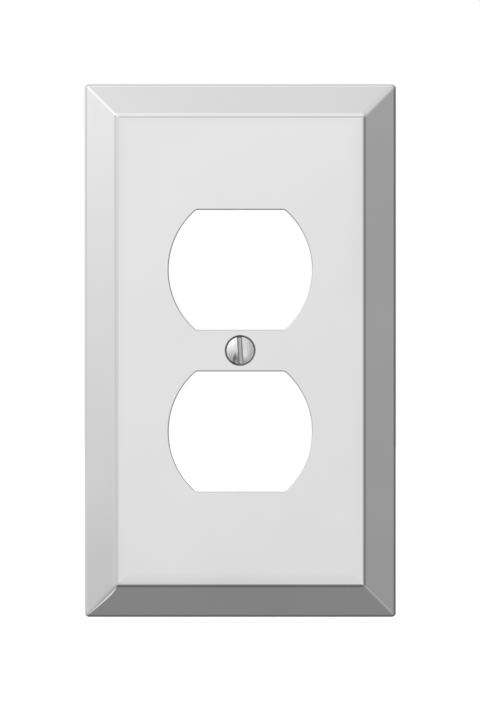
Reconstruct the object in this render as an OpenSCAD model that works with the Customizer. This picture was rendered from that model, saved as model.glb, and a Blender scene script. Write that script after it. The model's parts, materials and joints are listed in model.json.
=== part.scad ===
// Stamped steel wall plate for a duplex receptacle, with its oval-head mounting screw.
// Millimetres. X runs across the plate, +Z up the wall and +Y into the wall, so the face looks along -Y.
// The origin is on the screw's axis, in the plane of the wall. The screw is drawn fully driven.

/* [Plate] */
// Width of the plate over its rim
plate_w = 75.1; // [70:0.1:90]
// Height of the plate over its rim
plate_h = 128.6; // [115:0.1:140]
// Depth from the wall to the front of the flat panel
plate_d = 5.6; // [5.2:0.1:6.5]
// Thickness of the steel sheet
sheet_t = 0.9; // [0.76:0.01:1.1]
// Radius of the outline's four corners
corner_r = 1.0; // [0.6:0.1:2]

/* [Border] */
// Height of the straight rim that meets the wall
rim_d = 2.0; // [1.5:0.1:2.2]
// Width of the sloping border, from the outline to the foot of the step
bevel_w = 7.3; // [6:0.05:9]
// Width of the small step between border and panel
step_w = 0.65; // [0.5:0.05:0.8]
// Height of the small step
step_d = 0.5; // [0.4:0.05:0.6]
// Outside radius of the fold between rim and border
fold_r = 1.1; // [0.6:0.1:1.2]
// Radius at the foot of the step
foot_r = 0.7; // [0.2:0.1:0.8]
// Radius at the top of the step
crest_r = 0.7; // [0.2:0.1:0.8]

/* [Receptacle openings] */
// Width of each opening across its curved sides
opening_w = 34.5; // [33.5:0.1:35.5]
// Height of each opening between its flats
opening_h = 28.85; // [28:0.05:30]
// Radius of the curved sides
side_r = 19.1; // [17.8:0.1:20]
// Radius where a flat meets a curved side
opening_corner_r = 1.2; // [0.6:0.1:2]
// Distance between the centres of the two openings
opening_pitch = 38.9; // [38.6:0.1:39.2]

/* [Screw hole] */
// Radius of the countersink at the face of the panel
sink_r = 3.72; // [3.68:0.02:4]
// Full angle of the countersink and of the screw's head
sink_angle = 82; // [80:1:84]
// Radius of the clearance hole
hole_r = 2.0; // [1.9:0.05:2.2]
// Thickness of the sheet where it is pressed into the countersink
dimple_t = 0.75; // [0.6:0.05:0.9]
// Length of the straight hole at the bottom of the countersink
hole_land = 0.4; // [0.3:0.05:0.5]

/* [Screw] */
// Radius of the oval head
head_r = 3.3; // [3.1:0.05:3.35]
// Height of the head's dome
dome_h = 0.7; // [0.5:0.05:0.7]
// How far the head's edge sits below the face of the panel
head_drop = 0.38; // [0.1:0.01:0.4]
// Height of the head's straight edge
head_edge = 0.1; // [0.05:0.01:0.15]
// Major radius of the thread, 6-32 UNC
thread_r = 1.75; // [1.72:0.01:1.75]
// Radius of the plain neck under the head
neck_r = 1.5; // [1.35:0.05:1.6]
// Length of the plain neck
neck_len = 0.7; // [0.5:0.1:1]
// Length from the head's edge to the tip
screw_len = 12.7; // [9.5:0.1:19]
// Chamfer at the tip
tip_chamfer = 0.5; // [0.3:0.1:0.8]
// Width of the driver slot
slot_w = 1.2; // [1:0.05:1.25]
// Depth of the driver slot below the top of the dome
slot_d = 0.95; // [0.9:0.05:1.3]
// Turn of the driver slot from upright, anticlockwise as seen from the front
slot_turn = 3.5; // [0:0.5:90]

/* [Hidden] */
$fn = 100; // a multiple of four but not of eight, so that no circle has a corner on a mitre
margin = 1; // how far a cutting shape runs past what it cuts
graze = 1.002; // a fold's arc is this much over size, so that it crosses its straights cleanly
sink_tan = tan(sink_angle / 2);
sink_depth = (sink_r - hole_r) / sink_tan;
dimple_depth = sink_depth + hole_land;
side_offset = side_r - opening_w / 2; // from the middle of an opening to the centre of a curved side
edge_z = plate_d - head_drop; // where the head's cone is widest
dome_r = (pow(head_r, 2) + pow(dome_h, 2)) / (2 * dome_h);
dome_top = edge_z + head_edge + dome_h;
neck_z = edge_z - (head_r - neck_r) / sink_tan; // where the cone meets the neck
thread_z = neck_z - neck_len; // where the thread starts
thread_runout = thread_r - neck_r; // the first thread rises at 45 degrees
tip_z = edge_z - screw_len;

// ---- points -------------------------------------------------------------------------------------

function unit(v) = v / norm(v);
function left_of(v) = [-v[1], v[0]];

// The corner at b of the path a-b-c, moved sideways by t with both of its straights.
function moved_corner(a, b, c, t) =
    let (m = left_of(unit(b - a)), n = left_of(unit(c - b)))
    b + t * (m + n) / (1 + m * n);

// Half of the plate's section, from the wall to the panel: [distance from the middle, depth].
function front_path(half) = [
    [half, 0],
    [half, rim_d],
    [half - bevel_w, plate_d - step_d],
    [half - bevel_w - step_w, plate_d],
    [0, plate_d],
];

// The back of the sheet, a thickness behind the front and running past the wall.
function back_path(half) =
    let (p = front_path(half))
    concat(
        [[half - sheet_t, -margin]],
        [for (i = [1 : 3]) moved_corner(p[i - 1], p[i], p[i + 1], sheet_t)]
    );

function mirrored(path) =
    concat(path, [for (i = [len(path) - 1 : -1 : 0]) [-path[i][0], path[i][1]]]);

// ---- helpers: these work with depth along +Z and the plate's height along Y ---------------------

// What lies between the corner at b of the path a-b-c and an arc of radius r that rounds it.
module corner_gap(a, b, c, r) {
    u = unit(a - b);
    v = unit(c - b);
    half_angle = acos(u * v) / 2;
    centre = b + unit(u + v) * r / sin(half_angle);
    reach = r / tan(half_angle);
    overrun = 1.3; // runs past the corner, so that no edge lies on another
    difference() {
        polygon([
            centre,
            centre + overrun * (b + u * reach - centre),
            centre + overrun * (b - centre),
            centre + overrun * (b + v * reach - centre),
        ]);
        translate(centre) circle(r = r * graze);
    }
}

// The plate's whole section as if it were solid, with its folds rounded.
module front_section(half) {
    p = front_path(half);
    difference() {
        union() {
            polygon(mirrored(p));
            for (side = [0, 1]) mirror([side, 0]) corner_gap(p[1], p[2], p[3], foot_r);
        }
        for (side = [0, 1]) mirror([side, 0]) {
            corner_gap(p[0], p[1], p[2], fold_r);
            corner_gap(p[2], p[3], p[4], crest_r);
        }
    }
}

// Two sections, one over the width and one over the height, meeting in a mitre at each corner.
module mitred() {
    intersection() {
        rotate([90, 0, 0])
            linear_extrude(height = plate_h + 2 * margin, center = true) children(0);
        rotate([90, 0, 90])
            linear_extrude(height = plate_w + 2 * margin, center = true) children(1);
    }
}

module rounded_rectangle(w, h, r) {
    square([w - 2 * r, h], center = true);
    square([w, h - 2 * r], center = true);
    for (x = [-1, 1], y = [-1, 1])
        translate([x * (w / 2 - r), y * (h / 2 - r)])
            circle(r = r);
}

// What a rounded corner takes off an opening, in the first quadrant.
module opening_corner() {
    flat_y = opening_h / 2;
    arc_centre = [-side_offset, 0];
    reach = side_r - opening_corner_r;
    centre_y = flat_y - opening_corner_r;
    centre = [sqrt(pow(reach, 2) - pow(centre_y, 2)) - side_offset, centre_y];
    corner = [sqrt(pow(side_r, 2) - pow(flat_y, 2)) - side_offset, flat_y];
    outwards = 2; // how far past the corner the cut runs
    difference() {
        polygon([
            centre,
            centre + [0, outwards * opening_corner_r],
            centre + outwards * (corner - centre),
            centre + outwards * opening_corner_r * unit(centre - arc_centre),
        ]);
        translate(centre) circle(r = opening_corner_r);
    }
}

// A circle's width at the sides, cut off flat at the top and bottom.
module opening_outline() {
    difference() {
        intersection() {
            square([opening_w + margin, opening_h], center = true);
            translate([-side_offset, 0]) circle(r = side_r);
            translate([side_offset, 0]) circle(r = side_r);
        }
        for (x = [0, 1], y = [0, 1]) mirror([x, 0]) mirror([0, y]) opening_corner();
    }
}

// ---- sub-parts ----------------------------------------------------------------------------------

module faceplate() {
    hole_z = plate_d - dimple_depth; // the back end of the screw's hole
    dimple_r = sink_r + dimple_t / cos(sink_angle / 2); // where the pressed cone's back would meet the face
    lap = sheet_t / 2; // how deep the pressed cone's back runs into the panel
    color([0.82, 0.82, 0.83])
    rotate([90, 0, 0])
    difference() {
        union() {
            difference() {
                intersection() {
                    mitred() {
                        front_section(plate_w / 2);
                        front_section(plate_h / 2);
                    }
                    linear_extrude(height = plate_d + margin)
                        rounded_rectangle(plate_w, plate_h, corner_r);
                }
                mitred() {
                    polygon(mirrored(back_path(plate_w / 2)));
                    polygon(mirrored(back_path(plate_h / 2)));
                }
            }
            translate([0, 0, hole_z])
                cylinder(
                    r1 = dimple_r - dimple_depth * sink_tan,
                    r2 = dimple_r - lap * sink_tan,
                    h = dimple_depth - lap
                );
        }
        for (side = [-1, 1])
            translate([0, side * opening_pitch / 2, 0])
                linear_extrude(height = plate_d + margin)
                    opening_outline();
        translate([0, 0, plate_d - sink_depth])
            cylinder(r1 = hole_r, r2 = sink_r + margin * sink_tan, h = sink_depth + margin);
        translate([0, 0, hole_z - margin])
            cylinder(r = hole_r, h = dimple_depth);
    }
}

// Half of the screw's outline: [distance from its axis, depth].
module screw_profile() {
    polygon([
        [0, tip_z],
        [thread_r - tip_chamfer, tip_z],
        [thread_r, tip_z + tip_chamfer],
        [thread_r, thread_z - thread_runout],
        [neck_r, thread_z],
        [neck_r, neck_z],
        [head_r, edge_z],
        [head_r, edge_z + head_edge],
        [0, edge_z + head_edge],
    ]);
    intersection() {
        translate([0, dome_top - dome_r]) circle(r = dome_r);
        translate([0, edge_z]) square([head_r, head_edge + dome_h]);
    }
}

module mounting_screw() {
    slot_len = 2 * (head_r + margin);
    color([0.72, 0.72, 0.73])
    rotate([90, 0, 0])
    difference() {
        rotate_extrude() screw_profile();
        rotate([0, 0, slot_turn])
            translate([-slot_w / 2, -slot_len / 2, dome_top - slot_d])
                cube([slot_w, slot_len, slot_d + margin]);
    }
}

faceplate();
mounting_screw();
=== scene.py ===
"""The looks of a stamped chrome wall plate and its oval-head screw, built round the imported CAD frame.

Shapes are worked out in millimetres as (x, z, depth), where depth runs from the wall towards the viewer.
They become metres in the CAD's frame (X across, +Z up, +Y into the wall) as their vertices are made.
"""

import json
import math

import bmesh
import bpy
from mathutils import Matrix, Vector
from mathutils.geometry import delaunay_2d_cdt


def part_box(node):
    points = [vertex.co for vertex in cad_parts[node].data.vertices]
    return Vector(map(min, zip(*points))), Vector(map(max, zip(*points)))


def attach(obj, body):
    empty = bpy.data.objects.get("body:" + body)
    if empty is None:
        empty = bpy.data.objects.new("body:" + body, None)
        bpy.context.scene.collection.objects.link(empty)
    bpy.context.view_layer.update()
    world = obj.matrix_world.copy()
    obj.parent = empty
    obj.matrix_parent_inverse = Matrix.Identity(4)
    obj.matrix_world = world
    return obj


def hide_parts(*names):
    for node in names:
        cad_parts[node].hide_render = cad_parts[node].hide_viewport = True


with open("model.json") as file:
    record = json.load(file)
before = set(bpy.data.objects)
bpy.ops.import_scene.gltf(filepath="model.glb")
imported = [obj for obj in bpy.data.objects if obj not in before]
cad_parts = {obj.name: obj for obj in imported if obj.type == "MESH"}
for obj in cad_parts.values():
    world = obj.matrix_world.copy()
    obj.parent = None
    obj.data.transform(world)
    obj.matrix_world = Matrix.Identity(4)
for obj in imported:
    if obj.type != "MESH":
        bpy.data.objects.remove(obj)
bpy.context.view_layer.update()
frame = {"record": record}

MM = 0.001

# ---- dimensions, in millimetres -----------------------------------------------------------------

plate_low, plate_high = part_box("faceplate")
screw_low, screw_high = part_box("mounting_screw")
mount_at = {m["name"]: Vector(m["pos_m"]) for m in frame["record"]["mounts"]}

HALF_W = plate_high.x / MM
HALF_H = plate_high.z / MM
PANEL_D = -plate_low.y / MM  # the face of the flat panel
OPENING_Z = mount_at["upper_receptacle_opening"].z / MM

SHEET_T = 0.9
OUTLINE_R = 1.0  # the outline's corners
RIDGE_R = (1.0, 0.55, 0.35, 0.45)  # the front's mitres, anticlockwise from the upper right one
SOFT_CORNER = 2  # the lower left mitre is folded softer along its middle
SOFT_R = 0.8  # by this much at most
SOFT_WAVE = 0.85  # its softness follows this much of half a wave
SOFT_SKEW = 1.5  # a power that moves the softest place towards the panel
PANEL_CORNER_R = 0.22  # the mitres where they reach the panel
BACK_RIDGE_R = 0.3  # the mitres on the back
RIM_D = 2.0
RIM_EDGE_R = 0.12  # the rim's edge at the wall
RIM_BACK_EDGE_R = 0.1
FOLD_R = 1.1  # the fold between rim and border
BEVEL_W = 7.3
STEP_W = 0.65
STEP_D = 0.5
FOOT_R = 2.6
FOOT_BACK_R = 1.5
CREST_R = 1.0
CREST_BACK_R = 0.3
ROLL_W = 2.0  # the panel's edge sinks a little over this width, as pressed sheet does
ROLL_D = 0.03
ROLL_R = 110.0
BACK_FLAT_W = 1.5  # how far the back's rings run onto its flat

OPENING_HALF_H = 14.425
SIDE_R = 19.1
SIDE_OFFSET = 1.85  # from an opening's middle to the centre of a curved side
OPENING_CORNER_R = 1.2
DIE_ROLL_R = 0.32  # a punched edge is drawn down into the opening
DIE_ROLL_FLAT_W = 0.08
SHEARED = 0.65  # the share of a punched wall that is cut clean
FRACTURE_W = 0.03  # the rest of it breaks slightly wide
FRACTURE_R = 0.5
BURR_R = 0.06
BURR_FLAT_W = 0.3

SINK_R = 3.72
SINK_TAN = math.tan(math.radians(41))  # the countersink's and the head's half angle
HOLE_R = 2.0
HOLE_LAND = 0.4
DIMPLE_T = 0.75
SINK_LIP_R = 0.12
SINK_FLAT_R = 4.05  # where the countersink's rings end on the panel
SINK_BEND_R = 0.15  # where its cone meets the straight hole
LAND_EDGE_R = 0.05
DIMPLE_EDGE_R = 0.15
DIMPLE_ROOT_R = 0.4  # where the pressed cone meets the back of the panel
DIMPLE_FLAT_R = 4.4

HEAD_R = (screw_high.x - screw_low.x) / 2 / MM
HEAD_D = PANEL_D - 0.38  # the head's widest place
HEAD_EDGE = 0.1
DOME_H = 0.7
SLOT_HALF = 0.6
SLOT_FLOOR_HALF = 0.43  # its walls lean in a little towards the floor
SLOT_D = 0.95
SLOT_CORNER_R = 0.2
SLOT_TURN = math.radians(3.5)
SLOT_EDGE_R = 0.05
NECK_R = 1.5
NECK_LEN = 0.7
NECK_BEND_R = 0.3
TIP_D = -screw_high.y / MM
TIP_CHAMFER = 0.5
THREAD_R = 1.75
THREAD_ROOT_R = 1.32
PITCH = 25.4 / 32
# The thread's section down one turn: (share of the pitch, radius).
THREAD_SECTION = [
    (0, THREAD_R), (0.125, THREAD_R), (0.4375, THREAD_ROOT_R), (0.6875, THREAD_ROOT_R),
]

# ---- mesh helpers -------------------------------------------------------------------------------

HARD_ANGLE = math.radians(30)  # edges that turn by more than this stay hard
MERGE_GAP = 1e-8  # in metres


def filleted(path, radii, step=math.radians(8)):
    """The open 2-D path with each inner corner rounded: radii has one number for each of them."""
    points = [Vector(path[0])]
    for before, corner, after, radius in zip(path, path[1:], path[2:], radii):
        corner = Vector(corner)
        u = (Vector(before) - corner).normalized()
        v = (Vector(after) - corner).normalized()
        half_angle = u.angle(v) / 2
        reach = radius / math.tan(half_angle)
        centre = corner + (u + v).normalized() * radius / math.sin(half_angle)
        start, end = corner + u * reach - centre, corner + v * reach - centre
        steps = max(3, math.ceil((math.pi - 2 * half_angle) / step))
        points += [centre + radius * start.slerp(end, i / steps) for i in range(steps + 1)]
    points.append(Vector(path[-1]))
    return points


def arc(cx, cz, radius, start, end, steps):
    """Points on an arc, both ends included, angles in radians."""
    turns = [start + (end - start) * i / steps for i in range(steps + 1)]
    return [(cx + radius * math.cos(a), cz + radius * math.sin(a)) for a in turns]


def between(a, b, steps):
    """The points that divide the line from a to b into steps, without its ends."""
    return [
        (a[0] + (b[0] - a[0]) * i / steps, a[1] + (b[1] - a[1]) * i / steps)
        for i in range(1, steps)
    ]


def ring(bm, outline, depth):
    """Vertices along a closed outline of (x, z) points."""
    return [bm.verts.new((x * MM, -depth * MM, z * MM)) for x, z in outline]


def strip(bm, first, second, material=0):
    """Quads between two closed rings with as many vertices each."""
    for i in range(len(first)):
        j = (i + 1) % len(first)
        face = bm.faces.new((first[i], first[j], second[j], second[i]))
        face.material_index = material


def strips(bm, rings, material=0):
    for first, second in zip(rings, rings[1:]):
        strip(bm, first, second, material)


def finished(name, bm, materials):
    """The piece made of bm: smooth, with hard edges only where it turns sharply."""
    bmesh.ops.remove_doubles(bm, verts=bm.verts, dist=MERGE_GAP)
    bmesh.ops.dissolve_degenerate(bm, edges=bm.edges, dist=MERGE_GAP)
    for face in bm.faces:
        face.smooth = True
    mesh = bpy.data.meshes.new(name)
    bm.to_mesh(mesh)
    bm.free()
    mesh.set_sharp_from_angle(angle=HARD_ANGLE)
    for material in materials:
        mesh.materials.append(material)
    piece = bpy.data.objects.new(name, mesh)
    bpy.context.scene.collection.objects.link(piece)
    normals = piece.modifiers.new("flat faces stay flat", "WEIGHTED_NORMAL")
    normals.keep_sharp = True
    normals.weight = 90
    return piece


# ---- faceplate ----------------------------------------------------------------------------------

FRONT, BACK, RECESS = 0, 1, 2  # the plate's materials
CORNER_STEPS = 12
SIDE_STEPS = (18, 10)  # along the tall sides, and along the top and bottom
BORDER_STEPS = 12  # up the sloping border
OPENING_SIDE_STEPS = 28
OPENING_CORNER_STEPS = 5
OPENING_FLAT_STEPS = 10
HOLE_STEPS = 72
GRID = 3.0  # spacing of the panel's inner vertices
GRID_CLEAR = 1.0  # how far they keep from an edge


def front_ridge_radii(inset):
    """The four mitres' radii at this inset: each changes up the step to the panel's own."""
    up_border = min(max(inset / BEVEL_W, 0), 1)
    up_step = min(max((inset - BEVEL_W) / STEP_W, 0), 1)
    radii = list(RIDGE_R)
    radii[SOFT_CORNER] += SOFT_R * math.sin(SOFT_WAVE * math.pi * up_border**SOFT_SKEW)
    return [r + (PANEL_CORNER_R - r) * up_step for r in radii]


def plate_outline(inset, ridge_radii):
    """The plate's outline moved inwards by inset, anticlockwise from the lower right."""
    corners = []
    for q, (side, end) in enumerate([(1, 1), (-1, 1), (-1, -1), (1, -1)]):
        r = max(OUTLINE_R - inset, ridge_radii[q])
        x, z = side * (HALF_W - inset - r), end * (HALF_H - inset - r)
        corners.append(arc(x, z, r, math.pi / 2 * q, math.pi / 2 * (q + 1), CORNER_STEPS))
    outline = []
    for q, corner in enumerate(corners):
        outline += between(corners[q - 1][-1], corner[0], SIDE_STEPS[q % 2])
        outline += corner
    return outline


def opening_outline(middle_z, grown):
    """A receptacle opening's outline, moved outwards by grown, anticlockwise from the lower right."""
    reach = SIDE_R - OPENING_CORNER_R
    corner_z = OPENING_HALF_H - OPENING_CORNER_R
    corner_x = math.sqrt(reach**2 - corner_z**2) - SIDE_OFFSET
    tilt = math.atan2(corner_z, corner_x + SIDE_OFFSET)  # where a curved side ends
    right = arc(-SIDE_OFFSET, 0, SIDE_R + grown, -tilt, tilt, OPENING_SIDE_STEPS)
    corner_r = OPENING_CORNER_R + grown
    corner = arc(corner_x, corner_z, corner_r, tilt, math.pi / 2, OPENING_CORNER_STEPS)
    half = right[:-1] + corner
    half += between(corner[-1], (-corner[-1][0], corner[-1][1]), OPENING_FLAT_STEPS)
    half += [(-x, z) for x, z in reversed(corner[1:])]
    outline = half + [(-x, -z) for x, z in half]
    return [(x, z + middle_z) for x, z in outline]


def near_opening(x, z, clear):
    """True if the point is in an opening or the screw's hole, or closer to one than clear."""
    across, up = abs(x), abs(abs(z) - OPENING_Z)
    in_side = math.hypot(across + SIDE_OFFSET, up) < SIDE_R + clear
    in_opening = in_side and up < OPENING_HALF_H + clear
    return in_opening or math.hypot(x, z) < SINK_R + clear


def sheet(bm, outer, holes, material, seen_from_front):
    """Fills the flat sheet between the outer ring and the rings of its holes."""
    rings = [outer, *holes]
    verts = [v for r in rings for v in r]
    owner = [i for i, r in enumerate(rings) for _ in r]
    edges, first = [], 0
    for r in rings:
        edges += [(first + i, first + (i + 1) % len(r)) for i in range(len(r))]
        first += len(r)
    half_x = max(v.co.x for v in outer) / MM - GRID_CLEAR
    half_z = max(v.co.z for v in outer) / MM - GRID_CLEAR
    columns, rows = round(half_x / GRID), round(half_z / GRID)
    for i in range(-columns, columns + 1):
        for k in range(-rows, rows + 1):
            x, z = half_x * i / columns, half_z * k / rows
            if not near_opening(x, z, GRID_CLEAR):
                verts.append(bm.verts.new((x * MM, outer[0].co.y, z * MM)))
                owner.append(-len(owner))
    flat = [Vector((v.co.x, v.co.z)) / MM for v in verts]
    _, _, triangles, sources, *_ = delaunay_2d_cdt(flat, edges, [], 0, 1e-5)
    made = []
    for triangle in triangles:
        corners = [sources[i][0] for i in triangle]
        owners = {owner[i] for i in corners}
        in_hole = len(owners) == 1 and owners.pop() > 0
        if in_hole:
            continue
        a, b, c = (flat[i] for i in corners)
        anticlockwise = (b - a).cross(c - a) > 0
        if anticlockwise != seen_from_front:
            corners.reverse()
        face = bm.faces.new([verts[i] for i in corners])
        face.material_index = material
        made.append(face)
    bmesh.ops.join_triangles(
        bm, faces=made, angle_face_threshold=0.1, angle_shape_threshold=math.radians(40)
    )


def faceplate_mesh():
    bm = bmesh.new()
    # The back of the sheet, from the panel out to the wall.
    slope = math.atan2(PANEL_D - STEP_D - RIM_D, BEVEL_W)
    step_slope = math.atan2(STEP_D, STEP_W)
    foot_tilt, foot_bend = (slope + step_slope) / 2, (step_slope - slope) / 2
    back_d = PANEL_D - SHEET_T
    fold_in = SHEET_T  # the inside of the rim
    fold_d = RIM_D - SHEET_T * math.tan(math.pi / 4 - slope / 2)
    crest_in = BEVEL_W + STEP_W + SHEET_T * math.tan(step_slope / 2)
    foot_in = BEVEL_W + SHEET_T * math.sin(foot_tilt) / math.cos(foot_bend)
    foot_d = PANEL_D - STEP_D - SHEET_T * math.cos(foot_tilt) / math.cos(foot_bend)
    back_path = filleted(
        [
            (crest_in + BACK_FLAT_W, back_d),
            (crest_in, back_d),
            (foot_in, foot_d),
            (fold_in, fold_d),
            (fold_in, 0),
            (fold_in / 2, 0),
        ],
        [CREST_BACK_R, FOOT_BACK_R, FOLD_R - SHEET_T, RIM_BACK_EDGE_R],
    )
    front_path = filleted(
        [
            (fold_in / 2, 0),
            (0, 0),
            (0, RIM_D),
            (BEVEL_W, PANEL_D - STEP_D),
            (BEVEL_W + STEP_W, PANEL_D - ROLL_D),
            (BEVEL_W + STEP_W + ROLL_W, PANEL_D),
            (BEVEL_W + STEP_W + 2 * ROLL_W, PANEL_D),
        ],
        [RIM_EDGE_R, FOLD_R, FOOT_R, CREST_R, ROLL_R],
        step=math.radians(6),
    )
    # The sloping border gets rings of its own, because the soft mitre changes along it.
    foot = next(i for i, (inset, _) in enumerate(front_path) if inset > BEVEL_W / 2)
    front_path[foot:foot] = between(front_path[foot - 1], front_path[foot], BORDER_STEPS)
    back_rings = [ring(bm, plate_outline(e, [BACK_RIDGE_R] * 4), d) for e, d in back_path]
    front_rings = [ring(bm, plate_outline(e, front_ridge_radii(e)), d) for e, d in front_path[1:]]
    strips(bm, back_rings, BACK)
    strips(bm, [back_rings[-1], *front_rings], FRONT)

    # The openings, from the front to the back.
    wall = filleted(
        [
            (DIE_ROLL_R + DIE_ROLL_FLAT_W, PANEL_D),
            (0, PANEL_D),
            (0, PANEL_D - SHEET_T * SHEARED),
            (FRACTURE_W, back_d),
            (BURR_FLAT_W, back_d),
        ],
        [DIE_ROLL_R, FRACTURE_R, BURR_R],
    )
    front_holes, back_holes = [], []
    for middle_z in (OPENING_Z, -OPENING_Z):
        rings = [ring(bm, opening_outline(middle_z, e), d) for e, d in wall]
        strips(bm, rings, FRONT)
        front_holes.append(rings[0])
        back_holes.append(rings[-1])

    # The countersink, from the front to the back.
    sink_bottom = PANEL_D - (SINK_R - HOLE_R) / SINK_TAN
    land_bottom = sink_bottom - HOLE_LAND
    dimple_r = SINK_R + DIMPLE_T / math.cos(math.atan(SINK_TAN))  # the pressed cone's back, at the face
    hole = filleted(
        [
            (SINK_FLAT_R, PANEL_D),
            (SINK_R, PANEL_D),
            (HOLE_R, sink_bottom),
            (HOLE_R, land_bottom),
            (dimple_r - (PANEL_D - land_bottom) * SINK_TAN, land_bottom),
            (dimple_r - SHEET_T * SINK_TAN, back_d),
            (DIMPLE_FLAT_R, back_d),
        ],
        [SINK_LIP_R, SINK_BEND_R, LAND_EDGE_R, DIMPLE_EDGE_R, DIMPLE_ROOT_R],
    )
    rings = [ring(bm, arc(0, 0, r, 0, 2 * math.pi, HOLE_STEPS)[:-1], d) for r, d in hole]
    lip_end = next(i for i, (r, _) in enumerate(hole) if r < SINK_R)
    strips(bm, rings[: lip_end + 1], FRONT)
    # From the lip inwards the sheet takes the countersink's dark material: painted shade.
    strips(bm, rings[lip_end:], RECESS)
    front_holes.append(rings[0])
    back_holes.append(rings[-1])

    sheet(bm, front_rings[-1], front_holes, FRONT, True)
    sheet(bm, back_rings[0], back_holes, BACK, False)
    return bm


# ---- mounting screw -----------------------------------------------------------------------------

LOBE_SIDE_STEPS = 6  # from the slot to a corner of a lobe's grid
LOBE_STEPS = 18  # along the slot
DOME_R = (HEAD_R**2 + DOME_H**2) / (2 * DOME_H)
DOME_TOP = HEAD_D + HEAD_EDGE + DOME_H
SLOT_FLOOR = DOME_TOP - SLOT_D
SLOT_SECTION = filleted(
    [
        (-SLOT_HALF, DOME_TOP), (-SLOT_FLOOR_HALF, SLOT_FLOOR),
        (SLOT_FLOOR_HALF, SLOT_FLOOR), (SLOT_HALF, DOME_TOP),
    ],
    [SLOT_CORNER_R, SLOT_CORNER_R],
    step=math.radians(18),
)[1:-1]
FOOT_HALF, SLOT_FOOT = SLOT_SECTION[-1]  # where the slot's straight walls end
# The slot's material is darker than the head's: painted shade down in the slot.
SLOT = 1  # the slot's material, the second of the screw's two
SLOT_EDGE_ANGLE = math.radians(34)  # edges on the dome that turn by more than this are the slot's


def dome_depth(x, z):
    return DOME_TOP - DOME_R + math.sqrt(DOME_R**2 - x * x - z * z)


def on_dome(edge):
    """True if both ends of the edge lie on the dome."""
    return all(
        abs(dome_depth(v.co.x / MM, v.co.z / MM) + v.co.y / MM) < 1e-3 for v in edge.verts
    )


def cone_r(depth):
    return HEAD_R - (HEAD_D - depth) * SINK_TAN


def lobe_plan():
    """A grid of (x, z) points over the lobe right of the slot: rows run along the slot, bottom to top."""
    corner = math.acos(SLOT_HALF / HEAD_R)  # where the slot meets the rim
    grid_corner = corner * (1 - 2 * LOBE_SIDE_STEPS / (2 * LOBE_SIDE_STEPS + LOBE_STEPS))
    end_z = math.sqrt(HEAD_R**2 - SLOT_HALF**2)
    floor_z = math.sqrt(cone_r(SLOT_FOOT) ** 2 - FOOT_HALF**2)
    inner = floor_z * 2 / (LOBE_STEPS - 2)
    slot_side = [(SLOT_HALF, -end_z)]
    slot_side += [(SLOT_HALF, -floor_z + inner * i) for i in range(LOBE_STEPS - 1)]
    slot_side += [(SLOT_HALF, end_z)]
    rim_side = arc(0, 0, HEAD_R, -grid_corner, grid_corner, LOBE_STEPS)
    low_side = arc(0, 0, HEAD_R, -corner, -grid_corner, LOBE_SIDE_STEPS)
    high_side = arc(0, 0, HEAD_R, corner, grid_corner, LOBE_SIDE_STEPS)
    rows = []
    for j in range(LOBE_SIDE_STEPS + 1):
        b = j / LOBE_SIDE_STEPS
        row = []
        for i in range(LOBE_STEPS + 1):
            a = i / LOBE_STEPS
            row.append(tuple(
                (1 - b) * slot_side[i][k] + b * rim_side[i][k]
                + (1 - a) * low_side[j][k] + a * high_side[j][k]
                - (1 - a) * (1 - b) * slot_side[0][k] - a * (1 - b) * slot_side[-1][k]
                - (1 - a) * b * rim_side[0][k] - a * b * rim_side[-1][k]
                for k in (0, 1)
            ))
        rows.append(row)
    return rows


def turned(x, z, side=1):
    """A point of the head turned with the slot; side -1 takes it to the other lobe first."""
    x, z = x * side, z * side
    c, s = math.cos(SLOT_TURN), math.sin(SLOT_TURN)
    return (x * c - z * s, x * s + z * c)


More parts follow.
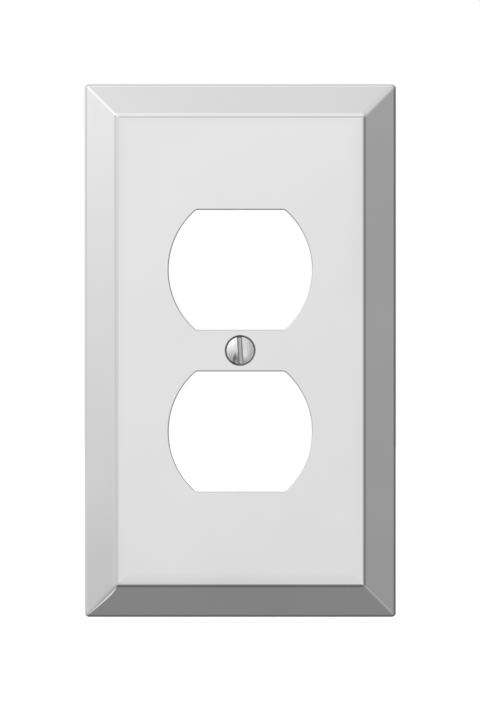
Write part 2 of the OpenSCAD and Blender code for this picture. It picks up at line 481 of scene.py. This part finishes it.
def screw_head(bm):
    """The head with its slot. Returns the closed ring at the slot's floor, on the head's cone."""
    plan = lobe_plan()
    levels = [(HEAD_R, HEAD_D, SLOT_HALF), (cone_r(SLOT_FOOT), SLOT_FOOT, FOOT_HALF)]  # below the dome
    rim_columns = LOBE_STEPS + 2 * LOBE_SIDE_STEPS

    def vert(x, z, depth, side=1):
        return ring(bm, [turned(x, z, side)], depth)[0]

    # The slot's floor: its section swept along it, with two ends that follow the cone.
    along = [z for _, z in plan[0][1:-1]]
    floor = []
    for k, z in enumerate(along):
        at_end = k in (0, len(along) - 1)
        row = []
        for x, depth in SLOT_SECTION:
            reach = math.copysign(math.sqrt(cone_r(depth) ** 2 - x * x), z) if at_end else z
            row.append(vert(x, reach, depth))
        floor.append(row)
    for low, high in zip(floor, floor[1:]):
        for i in range(len(SLOT_SECTION) - 1):
            face = bm.faces.new((low[i], low[i + 1], high[i + 1], high[i]))
            face.material_index = SLOT

    sides = []
    for side in (1, -1):
        grid = [[vert(x, z, dome_depth(x, z), side) for x, z in row] for row in plan]
        for low, high in zip(grid, grid[1:]):
            for i in range(LOBE_STEPS):
                bm.faces.new((low[i], high[i], high[i + 1], low[i + 1]))
        rim = [r[0] for r in grid] + grid[-1][1:-1] + [r[-1] for r in reversed(grid)]
        # The rim's edge and the top of the cone, which the slot also cuts.
        column = [rim]
        for r, depth, slot_half in levels:
            spread = math.acos(slot_half / r)
            outline = arc(0, 0, r, -spread, spread, rim_columns)
            outer = [vert(x, z, depth, side) for x, z in outline[1:-1]]
            if depth == SLOT_FOOT:
                ends = (floor[0][-1], floor[-1][-1]) if side > 0 else (floor[-1][0], floor[0][0])
            else:
                ends = [vert(*outline[i], depth, side) for i in (0, -1)]
            column.append([ends[0], *outer, ends[1]])
        for upper, lower in zip(column, column[1:]):
            for i in range(rim_columns):
                bm.faces.new((upper[i], lower[i], lower[i + 1], upper[i + 1]))
        # The slot's wall.
        foot = [row[-1] for row in floor] if side > 0 else [row[0] for row in reversed(floor)]
        top = grid[0][1:-1]
        wall = [bm.faces.new((foot[i], top[i], top[i + 1], foot[i + 1])) for i in range(len(foot) - 1)]
        wall.append(bm.faces.new((foot[0], *[c[0] for c in reversed(column[:-1])], top[0])))
        wall.append(bm.faces.new((foot[-1], top[-1], *[c[-1] for c in column[:-1]])))
        for face in wall:
            face.material_index = SLOT
        sides.append(column[-1])

    right, left = sides
    upper_end, lower_end = list(reversed(floor[-1])), floor[0]
    return right + upper_end[1:-1] + left + lower_end[1:-1]


def thread_rows(columns):
    """Rings of (radius, depth) for the thread, from its top down: each is one turn of the helix."""
    top = HEAD_D - (HEAD_R - NECK_R) / SINK_TAN - NECK_LEN
    turns = math.ceil((top - TIP_D) / PITCH) + 1
    rows = [[(NECK_R, top)] * columns]
    for turn in range(turns):
        for phase, r in THREAD_SECTION:
            row = []
            for i in range(columns):
                depth = top - (turn + phase - i / columns) * PITCH
                runout = min(max((top - depth) / PITCH, 0), 1)
                radius = NECK_R + (r - NECK_R) * runout
                depth = min(max(depth, TIP_D), top)
                radius = min(radius, THREAD_R - TIP_CHAMFER + depth - TIP_D)
                row.append((radius, depth))
            rows.append(row)
    return rows


def mounting_screw_mesh():
    bm = bmesh.new()
    cone_top = screw_head(bm)
    columns = len(cone_top)
    slot_edges = [e for e in bm.edges if on_dome(e) and e.calc_face_angle() > SLOT_EDGE_ANGLE]
    angles = [math.atan2(v.co.z, v.co.x) for v in cone_top]
    neck_d = HEAD_D - (HEAD_R - NECK_R) / SINK_TAN
    below = filleted(
        [(cone_r(SLOT_FLOOR), SLOT_FLOOR), (NECK_R, neck_d), (NECK_R, neck_d - NECK_LEN)],
        [NECK_BEND_R],
    )
    rings = [cone_top]
    for r, d in below[1:]:
        rings.append(ring(bm, [(r * math.cos(a), r * math.sin(a)) for a in angles], d))
    for upper, lower in zip(rings, rings[1:]):
        strip(bm, lower, upper)

    # Each row of the thread joins the one above it a pitch higher where the turn closes.
    made = []
    for row in thread_rows(columns):
        made.append([
            bm.verts.new((r * math.cos(a) * MM, -d * MM, r * math.sin(a) * MM))
            for (r, d), a in zip(row, angles)
        ])
    phases = len(THREAD_SECTION)
    first = rings[-1]
    for k, row in enumerate(made):
        above = made[k - 1] if k else first
        for i in range(columns - 1):
            bm.faces.new((row[i], row[i + 1], above[i + 1], above[i]))
        closing = made[k - phases][0] if k >= phases else first[0]
        closing_above = made[k - 1 - phases][0] if k > phases else first[0]
        corners = [row[-1], closing, closing_above, above[-1]]
        unique = list(dict.fromkeys(corners))
        if len(unique) > 2:
            bm.faces.new(unique)
    bmesh.ops.bevel(
        bm, geom=slot_edges, offset=SLOT_EDGE_R * MM, offset_type="OFFSET", segments=2, profile=0.5,
        affect="EDGES", clamp_overlap=True,
    )
    bmesh.ops.remove_doubles(bm, verts=bm.verts, dist=10 * MERGE_GAP)
    boundary = [e for e in bm.edges if e.is_boundary]
    bmesh.ops.holes_fill(bm, edges=boundary)
    return bm


# ---- materials ----------------------------------------------------------------------------------

TINT_ENDS = (0.3, 0.7)  # the values of a metal's tint that get its darker and its lighter colour
PAINTED_DARK_TINT = 0.05  # the value that gets its darkest colour, for the painted dark reflection
DARK_REFLECTION_AT = Vector((-1.08, -PANEL_D, -2.05)) * MM  # a painted dark reflection, low on the left lobe
DARK_REFLECTION_SIZE = Vector((2.0, 5, 3.0)) * MM  # from its middle to where it has faded out
DARK_REFLECTION_DEPTH = 0.5  # what it takes off the tint in its middle


def node(tree, kind, inputs=None, **settings):
    """A new node. An input given as a socket is linked, and any other value is set."""
    made = tree.nodes.new(kind)
    for name, value in settings.items():
        setattr(made, name, value)
    for name, value in (inputs or {}).items():
        if isinstance(value, bpy.types.NodeSocket):
            tree.links.new(value, made.inputs[name])
        else:
            made.inputs[name].default_value = value
    return made


def ranged(tree, value, low, high, smooth=False, from_low=0.0, from_high=1.0):
    """value mapped from one range to another, and held inside it."""
    return node(
        tree, "ShaderNodeMapRange",
        {"Value": value, "From Min": from_low, "From Max": from_high, "To Min": low, "To Max": high},
        interpolation_type="SMOOTHSTEP" if smooth else "LINEAR",
    ).outputs["Result"]


def noise(tree, scale, detail=2.0, stretch=(1, 1, 1), turn=(0, 0, 0), roughness=0.5):
    """Noise over the object's own coordinates; scale is features per metre."""
    place = node(tree, "ShaderNodeTexCoord").outputs["Object"]
    mapped = node(tree, "ShaderNodeMapping", {"Vector": place, "Scale": stretch, "Rotation": turn})
    return node(
        tree, "ShaderNodeTexNoise",
        {"Vector": mapped.outputs["Vector"], "Scale": scale, "Detail": detail, "Roughness": roughness},
    ).outputs["Fac"]


def vector_maths(tree, operation, inputs, output):
    return node(tree, "ShaderNodeVectorMath", inputs, operation=operation).outputs[output]


def total(tree, *values):
    """The sum of the values."""
    result = values[0]
    for value in values[1:]:
        result = node(tree, "ShaderNodeMath", {0: result, 1: value}, operation="ADD").outputs[0]
    return result


def metal(name, colours, roughness, relief, painted_dark=None):
    """A metal made by functions that build nodes on its tree.

    colours is the tint's function and the two colours that it runs between, and relief's function gives
    pairs of a height and how much of it there is, in metres.
    """
    material = bpy.data.materials.new(name)
    material.use_nodes = True
    tree = material.node_tree
    shader = tree.nodes["Principled BSDF"]
    shader.inputs["Metallic"].default_value = 1.0
    tint, (low, high) = colours[0](tree), colours[1]
    ramp = node(tree, "ShaderNodeValToRGB", {"Fac": tint})
    stops = ramp.color_ramp.elements
    stops[0].position, stops[1].position = TINT_ENDS
    stops[0].color = (*low, 1)
    stops[1].color = (*high, 1)
    # A colour below the tint's ends, used for a painted dark reflection.
    if painted_dark:
        stops.new(PAINTED_DARK_TINT).color = (*painted_dark, 1)
    tree.links.new(ramp.outputs["Color"], shader.inputs["Base Color"])
    tree.links.new(roughness(tree), shader.inputs["Roughness"])
    normal = None
    for height, distance in relief(tree):
        bump = node(tree, "ShaderNodeBump", {"Height": height, "Distance": distance, "Strength": 1.0})
        if normal:
            tree.links.new(normal, bump.inputs["Normal"])
        normal = bump.outputs["Normal"]
    tree.links.new(normal, shader.inputs["Normal"])
    return material


def chrome_front():
    """Polished chrome plate: a mirror with faint waves, wiping haze and hairline scratches."""
    def haze(tree):
        return noise(tree, 45, detail=4)

    def roughness(tree):
        smudges = ranged(tree, noise(tree, 70, detail=5, stretch=(1, 1, 0.35)), 0.05, 0.085)
        hairlines = noise(tree, 260, detail=3, stretch=(9, 9, 0.25), turn=(0, 0.5, 0))
        return total(tree, smudges, ranged(tree, hairlines, 0, 0.05, from_low=0.62, from_high=0.8))

    def relief(tree):
        waves = noise(tree, 38, detail=1)
        hairlines = noise(tree, 420, detail=2, stretch=(8, 8, 0.2), turn=(0, -0.35, 0))
        return [(waves, 2.5e-5), (hairlines, 2.5e-7)]

    return metal(
        "polished_chrome", (haze, ((0.803, 0.794, 0.796), (0.829, 0.820, 0.822))), roughness, relief
    )


def chrome_back():
    """The plating thins to a satin finish on the back, over the mill grain of the sheet."""
    def haze(tree):
        return noise(tree, 60, detail=6)

    def roughness(tree):
        return ranged(tree, noise(tree, 110, detail=5, stretch=(1, 1, 0.3)), 0.26, 0.44)

    def relief(tree):
        grain = noise(tree, 900, detail=3, stretch=(6, 6, 0.15))
        peel = noise(tree, 700, detail=4)
        return [(grain, 2.0e-6), (peel, 3.0e-6)]

    return metal(
        "satin_plating", (haze, ((0.60, 0.60, 0.61), (0.70, 0.70, 0.70))), roughness, relief
    )


def recess():
    """Down in the countersink the plating is dull, and its dark colour is painted shade for the gap round
    the screw head.
    """
    def haze(tree):
        return noise(tree, 400, detail=4)

    def roughness(tree):
        return ranged(tree, noise(tree, 500, detail=4), 0.28, 0.42)

    def relief(tree):
        return [(noise(tree, 1500, detail=3), 4.0e-6)]

    return metal("countersink_painted_shade", (haze, ((0.30, 0.30, 0.31), (0.42, 0.42, 0.42))), roughness, relief)


def slot_metal():
    """The milled slot, darker than the head round it: painted shade down in the slot."""
    def haze(tree):
        return noise(tree, 700, detail=4, stretch=(3, 3, 0.5), turn=(0, SLOT_TURN, 0))

    def roughness(tree):
        return ranged(tree, noise(tree, 500, detail=4), 0.38, 0.55)

    def relief(tree):
        return [(noise(tree, 1200, detail=3, stretch=(1, 1, 4), turn=(0, SLOT_TURN, 0)), 6.0e-6)]

    return metal("slot_painted_shade", (haze, ((0.50, 0.50, 0.50), (0.66, 0.66, 0.66))), roughness, relief)


def screw_metal():
    """Bright-plated steel, brushed along the slot, with a painted dark reflection low on the left lobe."""
    def streaks(tree):
        return noise(tree, 600, detail=3, stretch=(5, 5, 0.4), turn=(0, SLOT_TURN, 0))

    def tint(tree):
        place = node(tree, "ShaderNodeTexCoord").outputs["Object"]
        offset = vector_maths(tree, "SUBTRACT", {0: place, 1: DARK_REFLECTION_AT}, "Vector")
        scaled = vector_maths(tree, "DIVIDE", {0: offset, 1: DARK_REFLECTION_SIZE}, "Vector")
        away = vector_maths(tree, "LENGTH", {0: scaled}, "Value")
        # Painted dark reflection: the tint is taken down round a place low on the left lobe.
        painted_reflection = ranged(tree, away, -DARK_REFLECTION_DEPTH, 0, smooth=True)
        return total(tree, streaks(tree), painted_reflection)

    def roughness(tree):
        return ranged(tree, streaks(tree), 0.24, 0.42)

    def relief(tree):
        lines = noise(tree, 900, detail=4, stretch=(4, 4, 0.3), turn=(0, SLOT_TURN, 0))
        dents = noise(tree, 500, detail=2)
        return [(lines, 1.2e-5), (dents, 1.0e-5)]

    return metal(
        "brushed_screw", (tint, ((0.80, 0.80, 0.81), (0.97, 0.97, 0.97))), roughness, relief,
        painted_dark=(0.24, 0.24, 0.24),
    )


# ---- studio -------------------------------------------------------------------------------------

# The studio's tones on each side of the object: (degrees from straight in front, tone, lean). The lean is
# the share of the tone gained across the middle of the view, going up on the sides or left above and below.
SIDES = {
    "left": [
        (0, 0.925, 0), (1.2, 0.962, 0.015), (5, 0.91, 0.015), (12, 0.76, 0.04), (26, 0.74, 0.06),
        (40, 0.82, 0.2), (47, 0.835, 0.235), (53, 0.87, 0.12), (60, 0.78, 0.07), (75, 0.70, 0.07),
        (95, 0.82, 0.05), (150, 0.78, 0.05), (180, 0.6, 0),
    ],
    "right": [
        (0, 0.925, 0), (1.2, 0.905, 0.01), (5, 0.88, 0.01), (14, 0.81, 0.04), (26, 0.74, 0.05),
        (36, 0.57, 0.06), (43, 0.43, 0.06), (47, 0.40, 0.065), (53, 0.40, 0.06), (59, 0.33, 0.06),
        (65, 0.27, 0.07), (75, 0.25, 0.07), (88, 0.14, 0.03), (110, 0.12, 0), (150, 0.17, 0), (180, 0.2, 0),
    ],
    "up": [
        (0, 0.925, 0), (2.3, 0.985, 0.01), (5, 0.94, 0.01), (12, 0.72, 0.03), (24, 0.56, 0.03),
        (36, 0.62, 0.04), (43, 0.80, 0.065), (47, 0.845, 0.065), (56, 0.96, 0.05), (64, 1.02, 0.04),
        (78, 1.0, 0.04), (88, 0.78, 0.02), (150, 0.7, 0), (180, 0.6, 0),
    ],
    "down": [
        (0, 0.925, 0), (2.3, 0.9, 0.02), (5, 0.76, 0.02), (9, 0.65, 0.01), (25, 0.48, 0.01),
        (38, 0.335, 0.01), (47, 0.28, 0), (60, 0.27, 0), (68, 0.15, 0), (78, 0.13, 0), (90, 0.18, 0),
        (150, 0.21, 0), (180, 0.2, 0),
    ],
}
LEAN_REACH = {"left": 0.04, "right": 0.04, "up": 0.025, "down": 0.025}  # how far off the middle it is full
LEAN_CURVE = 0.4  # how much of it comes late
# Softboxes: direction, degrees from the middle where the light starts to fade and is gone, brightness.
SOFTBOXES = [
    ((-0.39, -0.785, 0.485), 1, 26, 0.40),
    ((-0.145, -0.78, -0.61), 2, 10, 0.62),
    ((0.25, -0.87, 0.42), 4, 16, 0.22),
    ((0.20, -0.94, -0.27), 5, 17, 0.45),
    ((0.52, -0.68, -0.52), 3, 11, 0.28),
]


def studio_world():
    """Soft light from all round, with tones that the chrome reflects. The camera sees plain white."""
    world = bpy.data.worlds.new("studio")
    bpy.context.scene.world = world
    world.use_nodes = True
    tree = world.node_tree
    tree.nodes.clear()

    def maths(operation, a, b=0.0):
        return node(tree, "ShaderNodeMath", {0: a, 1: b}, operation=operation).outputs[0]

    direction = node(tree, "ShaderNodeTexCoord").outputs["Generated"]
    axes = node(tree, "ShaderNodeSeparateXYZ", {"Vector": direction}).outputs
    off_axis = maths("DIVIDE", maths("ARCCOSINE", maths("MULTIPLY", axes["Y"], -1.0)), math.pi)
    x, z = axes["X"], axes["Z"]
    never_zero = 1e-7
    spread = maths("ADD", maths("ADD", maths("MULTIPLY", x, x), maths("MULTIPLY", z, z)), never_zero)
    halves = {
        "left": maths("MINIMUM", x), "right": maths("MAXIMUM", x),
        "up": maths("MAXIMUM", z), "down": maths("MINIMUM", z),
    }
    tone = None
    for side, stops in SIDES.items():
        ramp = node(tree, "ShaderNodeValToRGB", {"Fac": off_axis})
        elements = ramp.color_ramp.elements
        while len(elements) < len(stops):
            elements.new(1.0)
        for element, (angle, value, lean) in zip(elements, stops):
            element.position = angle / 180
            element.color = (value, lean, 0, 1)
        split = node(tree, "ShaderNodeSeparateColor", {"Color": ramp.outputs["Color"]}).outputs
        share = maths("DIVIDE", maths("MULTIPLY", halves[side], halves[side]), spread)
        across = z if side in ("left", "right") else maths("MULTIPLY", x, -1.0)
        reach = LEAN_REACH[side]
        grown = ranged(tree, across, -1, 1, from_low=-reach, from_high=reach)
        late = maths("MULTIPLY", maths("MULTIPLY", grown, grown), LEAN_CURVE)
        grown = maths("MULTIPLY", grown, maths("ADD", late, 1 - LEAN_CURVE))
        leaning = maths("ADD", maths("MULTIPLY", grown, split["Green"]), 1.0)
        part = maths("MULTIPLY", maths("MULTIPLY", share, leaning), split["Red"])
        tone = maths("ADD", tone, part) if tone else part
    for towards, full, none, brightness in SOFTBOXES:
        middle = Vector(towards).normalized()
        aim = vector_maths(tree, "DOT_PRODUCT", {0: direction, 1: middle}, "Value")
        light = ranged(
            tree, aim, 0, brightness, smooth=True,
            from_low=math.cos(math.radians(none)), from_high=math.cos(math.radians(full)),
        )
        tone = maths("ADD", tone, light)
    lit = node(tree, "ShaderNodeBackground", {"Color": tone, "Strength": 1.0})
    plain = node(tree, "ShaderNodeBackground", {"Color": (1, 1, 1, 1), "Strength": 1.0})
    seen = node(tree, "ShaderNodeLightPath").outputs["Is Camera Ray"]
    mixed = node(tree, "ShaderNodeMixShader", {0: seen})
    tree.links.new(lit.outputs[0], mixed.inputs[1])
    tree.links.new(plain.outputs[0], mixed.inputs[2])
    node(tree, "ShaderNodeOutputWorld", {"Surface": mixed.outputs[0]})


def floor():
    """A plain pale floor under the plate, which the metal doesn't reflect."""
    half = 2.5
    clear = 0.0002  # how far it stays below the plate
    z = plate_low.z - clear
    mesh = bpy.data.meshes.new("floor")
    corners = [(-half, -half, z), (half, -half, z), (half, half, z), (-half, half, z)]
    mesh.from_pydata(corners, [], [(0, 1, 2, 3)])
    material = bpy.data.materials.new("pale_floor")
    material.use_nodes = True
    shader = material.node_tree.nodes["Principled BSDF"]
    shader.inputs["Base Color"].default_value = (0.85, 0.85, 0.85, 1)
    shader.inputs["Roughness"].default_value = 0.9
    shader.inputs["Emission Color"].default_value = (1, 1, 1, 1)
    shader.inputs["Emission Strength"].default_value = 0.75
    mesh.materials.append(material)
    plane = bpy.data.objects.new("floor", mesh)
    bpy.context.scene.collection.objects.link(plane)
    plane.visible_glossy = False


def camera():
    """Square on, from far enough away that the view is nearly parallel."""
    lens, sensor = 300, 36
    view_height = 0.1687  # at the face of the panel
    off_x, off_z = -0.00006, 0.00002  # the plate isn't quite in the middle of the picture
    distance = view_height * lens / sensor
    data = bpy.data.cameras.new("camera")
    data.lens, data.sensor_width = lens, sensor
    data.clip_start, data.clip_end = 0.05, 20
    eye = bpy.data.objects.new("camera", data)
    eye.location = (off_x, plate_low.y - distance, off_z)
    eye.rotation_euler = (math.radians(90), 0, 0)
    bpy.context.scene.collection.objects.link(eye)
    bpy.context.scene.camera = eye


# ---- the scene ----------------------------------------------------------------------------------

bpy.context.scene.view_settings.view_transform = "Standard"
camera()
studio_world()
floor()

plate = finished("faceplate_sheet", faceplate_mesh(), [chrome_front(), chrome_back(), recess()])
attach(plate, "faceplate")
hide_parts("faceplate")

screw = finished("oval_head_screw", mounting_screw_mesh(), [screw_metal(), slot_metal()])
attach(screw, "mounting_screw")
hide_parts("mounting_screw")
